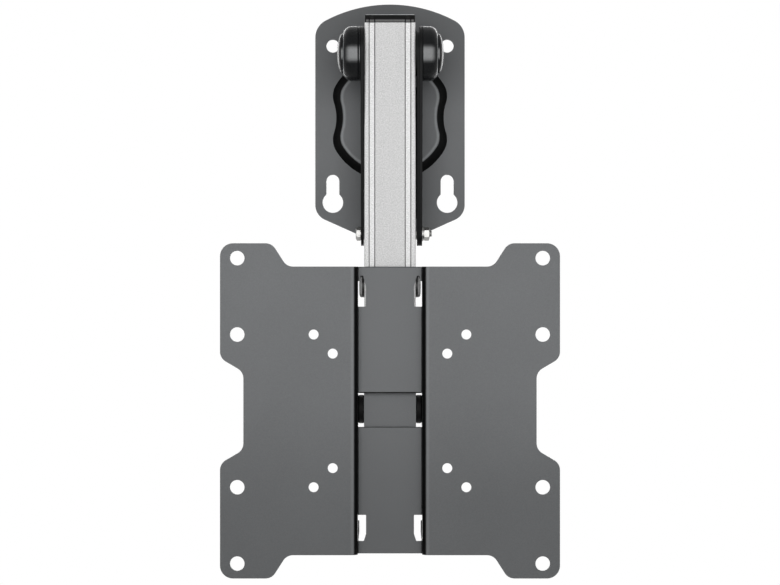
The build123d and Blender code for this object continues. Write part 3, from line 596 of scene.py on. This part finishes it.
# The arm: two sunk bands on its front and back by their distance from its middle plane, the strips
# outside them, and the painted shade on the steps between
# Painted shade where the arm's faces turn away from Z, and a painted highlight where they are
# nearly flat
ARM_SLOPE_SHADE_AND_HIGHLIGHT = [(0.0, 0.40), (0.5, 0.40), (0.62, 0.80), (0.90, 1.20), (0.98, 1.16), (1.0, 1.0)]
ARM_MIDDLE_Z = -0.043
SUNK_DEPTH, SUNK_LEVEL = (0.0093, 0.0098), 1.28
STRIP_X, STRIP_LEVEL = (0.0136, 0.0138), 1.12
STEP_X, STEP_TURN, STEP_SHADE_LEVEL = (0.0142, 0.0145), (0.75, 0.90), 0.42


def anodised_arm(name, level, metallic, rough):
    """Blasted and anodised aluminium: fine sparkle, faint draw lines along the arm, painted shade
    on the steps, and painted shade and highlight by the slope of its faces.
    """
    shade = Shade(name)
    sparkle = shade.cells(scale=1500.0)
    speck = shade.noise(scale=1300.0, detail=3.0, rough=0.65)
    draw = shade.noise(scale=420.0, detail=2.0, stretch=(1.0, 0.02, 1.0))
    body = shade.mottle(speck, level * 0.74, level * 1.22)
    body = shade.toned(body, shade.ramp(sparkle, [(0.0, 1.08), (0.6, 0.68)]), factor=0.50)
    body = shade.toned(body, shade.ramp(draw, [(0.35, 0.86), (0.65, 1.0)]), factor=0.2)
    # Painted shade and highlight by the slope of the faces
    body = shade.toned(body, shade.ramp(shade.facing("Z"), ARM_SLOPE_SHADE_AND_HIGHLIGHT))
    depth = shade.math("ABSOLUTE", shade.math("ADD", shade.along("Z"), -ARM_MIDDLE_Z))
    sunk = shade.grade(shade.drop(depth, *SUNK_DEPTH), 1.0, SUNK_LEVEL)
    side = shade.from_middle("X")
    strip = shade.grade(shade.rise(side, *STRIP_X), 1.0, STRIP_LEVEL)
    # Painted shade on the steps
    step_shade = shade.times(shade.drop(shade.facing("Z"), *STEP_TURN), shade.drop(side, *STEP_X))
    step_shade = shade.grade(step_shade, 1.0, STEP_SHADE_LEVEL)
    shade.colour(shade.toned(body, shade.toned(shade.toned(sunk, strip), step_shade)))
    shade.value("Metallic", metallic)
    shade.roughness(speck, rough, swing=0.06)
    shade.relief(speck, strength=0.25, height=0.00006, radius=EDGE_R)
    return shade.material


def bright_zinc(name, level, rough):
    """Zinc-plated steel with faint clouds, and edges brightened by wear and a painted highlight."""
    shade = Shade(name)
    cloud = shade.noise(scale=260.0, detail=3.0, rough=0.6)
    fine = shade.noise(scale=2600.0, detail=2.0)
    body = shade.mottle(cloud, level * 0.80, level * 1.10, (1.0, 0.995, 0.97))
    # Edges brightened by wear and a painted highlight
    shade.colour(shade.mix(shade.wear_and_highlight(SMALL_EDGE_R, amount=0.5), body, (level * 1.4,) * 3))
    shade.value("Metallic", 1.0)
    shade.roughness(cloud, rough, swing=0.07)
    shade.relief(fine, strength=0.15, height=0.00003, radius=SMALL_EDGE_R)
    return shade.material


# One finish for each material slot of the record, and one for each node that has its own
SLOT_FINISH = {
    # The grey of this coat where it faces along Z is a painted sheen over a near-black coat
    "coated_steel": coated_steel(
        "coated_steel",
        level=0.148,
        rough=0.36,
        specular=0.045,
        stops=CEILING_SLOPE_SHADE_AND_HIGHLIGHT,
        light_falloff=CEILING_LIGHT_FALLOFF,
    ),
    "cast_aluminium": coated_steel(
        "cast_aluminium", level=0.160, rough=0.40, specular=0.045, stops=FITTING_SLOPE_SHADE
    ),
    "plain_steel": coated_steel(
        "plain_steel", level=0.012, rough=0.40, specular=0.06, stops=PLAIN_SLOPE_SHADE
    ),
    "zinc_steel": bright_zinc("zinc_steel", level=0.34, rough=0.38),
    "black_steel": black_oxide("black_steel"),
    "arm_aluminium": anodised_arm("arm_aluminium", level=0.533, metallic=0.20, rough=0.50),
    "cover_plastic": cover_plastic("cover_plastic", rounded=True),
    "washer_plastic": moulded_plastic("washer_plastic", level=0.004, rough=0.55, specular=0.1),
}
INSERT_PLASTIC = cover_plastic("insert_plastic", rounded=False)
NODE_FINISH = {
    "pivot_bracket": coated_steel(
        "bracket_coat", level=0.014, rough=0.36, specular=0.05, stops=BRACKET_SLOPE_SHADE, outward=4.0
    ),
    # The grey of this coat where it faces along Z is a painted sheen over a near-black coat
    "screen_plate": coated_steel(
        "screen_coat",
        level=0.166,
        rough=0.36,
        specular=0.045,
        stops=SCREEN_SLOPE_SHADE_AND_HIGHLIGHT,
        light_falloff=SCREEN_LIGHT_FALLOFF,
        web_shadow=True,
        outward=0.6,
    ),
    "arm_end_cap": cap_plastic("cap_plastic"),
    "left_cover_insert": INSERT_PLASTIC,
    "right_cover_insert": INSERT_PLASTIC,
}


def dress(obj, material):
    """Gives the whole object one material."""
    obj.data.materials.clear()
    obj.data.materials.append(material)
    for polygon in obj.data.polygons:
        polygon.material_index = 0


# ---------------------------------------------------------------- fasteners
# The bolts that show their thread: node, axis and body, then diameter, width across flats, height
# of the head, pitch, and length of the thread
BOLTS = (
    ("stop_bolt", "X", "bracket", 0.005, 0.008, 0.0035, 0.0008, 0.012),
    ("tilt_bolt", "X", "screen", 0.008, 0.013, 0.0053, 0.00125, 0.015),
    ("swivel_bolt", "Z", "ceiling", 0.010, 0.016, 0.0064, 0.0015, 0.010),
)

# Shapes of a bolt, as shares of its own sizes: the bevel of the head's height, the radius of its
# end face of the width across flats, the thread's depth of its pitch, the tip's chamfer of the
# diameter. A groove slope above 1 leaves the groove a flat floor.
BEVEL_SHARE = 0.22
FACE_SHARE = 0.47
THREAD_SHARE = 0.61
TIP_SHARE = 0.08
GROOVE_SLOPE = 1.25

# The head's corners are cut back at its seat, and the plain shank's rows keep off its two ends
FOOT_H, FOOT_INSET = 0.0004, 0.0006
ROW_GAP = 1e-5

SEGMENTS = 72
ROWS_PER_TURN = 8
SHARP_ANGLE = math.radians(28)


def polar_mesh(name, stations, radius_at, place):
    """A closed mesh round an axis, whose radius depends on the angle and on the way along."""
    verts, faces = [], []
    for s in stations:
        for i in range(SEGMENTS):
            angle = 2 * math.pi * i / SEGMENTS
            r = radius_at(angle, s)
            verts.append(place(r * math.cos(angle), r * math.sin(angle), s))
    for row in range(len(stations) - 1):
        for i in range(SEGMENTS):
            a, b = row * SEGMENTS + i, row * SEGMENTS + (i + 1) % SEGMENTS
            faces.append((a, a + SEGMENTS, b + SEGMENTS, b))
    verts.append(place(0.0, 0.0, stations[0]))
    verts.append(place(0.0, 0.0, stations[-1]))
    last = (len(stations) - 1) * SEGMENTS
    for i in range(SEGMENTS):
        faces.append((len(verts) - 2, i, (i + 1) % SEGMENTS))
        faces.append((len(verts) - 1, last + (i + 1) % SEGMENTS, last + i))
    mesh = bpy.data.meshes.new(name)
    mesh.from_pydata(verts, [], faces)
    mesh.validate()
    for polygon in mesh.polygons:
        polygon.use_smooth = True
    mesh.set_sharp_from_angle(angle=SHARP_ANGLE)
    obj = bpy.data.objects.new(name, mesh)
    scene.collection.objects.link(obj)
    return obj


def threaded_bolt(node, axis, size, across, head_h, pitch, thread):
    """A hexagon bolt with a bevelled head and a rolled thread, in place of its CAD node."""
    low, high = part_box(node)
    mid = [(a + b) / 2 for a, b in zip(low, high)]
    start, length = (low[0], high[0] - low[0]) if axis == "X" else (low[2], high[2] - low[2])
    corner = across / math.sqrt(3)
    face = FACE_SHARE * across
    bevel_h = BEVEL_SHARE * head_h
    depth = THREAD_SHARE * pitch
    thread_start = length - thread

    def place(u, v, s):
        if axis == "X":
            return (start + s, mid[1] + u, mid[2] + v)
        return (mid[0] + u, mid[1] + v, start + s)

    def radius_at(angle, s):
        if s <= head_h:
            turned = angle % (math.pi / 3) - math.pi / 6
            hexagon = across / 2 / math.cos(turned)
            cone = face + (corner - face) * min(max(s, 0.0) / bevel_h, 1.0)
            seat = head_h - s
            foot = corner - FOOT_INSET + seat if seat < FOOT_H else corner
            return min(hexagon, cone, foot)
        grown = min(max((s - thread_start) / pitch, 0.0), 1.0)
        phase = (s / pitch - angle / (2 * math.pi)) % 1.0
        groove = depth * grown * min(1.0, GROOVE_SLOPE * abs(1.0 - 2.0 * abs(phase - 0.5)))
        tip = size / 2 - TIP_SHARE * size + (length - s)
        return min(size / 2 - groove, tip)

    foot_rows = [head_h - FOOT_H, head_h - FOOT_H / 2, head_h]
    head = [0.0, 0.5 * bevel_h, bevel_h, 0.5 * head_h, *foot_rows]
    plain = [head_h + ROW_GAP, thread_start - ROW_GAP]
    rows = int(thread / pitch * ROWS_PER_TURN)
    thread_run = [thread_start + thread * k / rows for k in range(rows + 1)]
    return polar_mesh(node + "_threaded", head + plain + thread_run, radius_at, place)


make_camera()
make_world()
make_floor()
area_light("key", KEY_AT, KEY_TARGET, KEY_SIZE, KEY_WATTS)
area_light("top", TOP_AT, MIDDLE, TOP_SIZE, TOP_WATTS)
for side in (-1, 1):
    reach = AROUND_REACH * side
    for name, location in (
        ("side", (reach, MIDDLE[1], AROUND_Z)),
        ("end", (0.0, MIDDLE[1] + reach, AROUND_Z)),
    ):
        lamp = area_light(f"{name}_{side}", location, MIDDLE, AROUND_SIZE, AROUND_WATTS)
        lamp.visible_glossy = False

slot_of = {part["node"]: part["material_slot"] for part in frame["record"]["subparts"]}
for node, obj in nodes.items():
    dress(obj, NODE_FINISH.get(node, SLOT_FINISH[slot_of[node]]))

for bolt, axis, body, *sizes in BOLTS:
    piece = threaded_bolt(bolt, axis, *sizes)
    dress(piece, SLOT_FINISH["zinc_steel"])
    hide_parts(bolt)
    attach(piece, body)

both = [[list(corner) for corner in box] for box in (cad_box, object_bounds())]
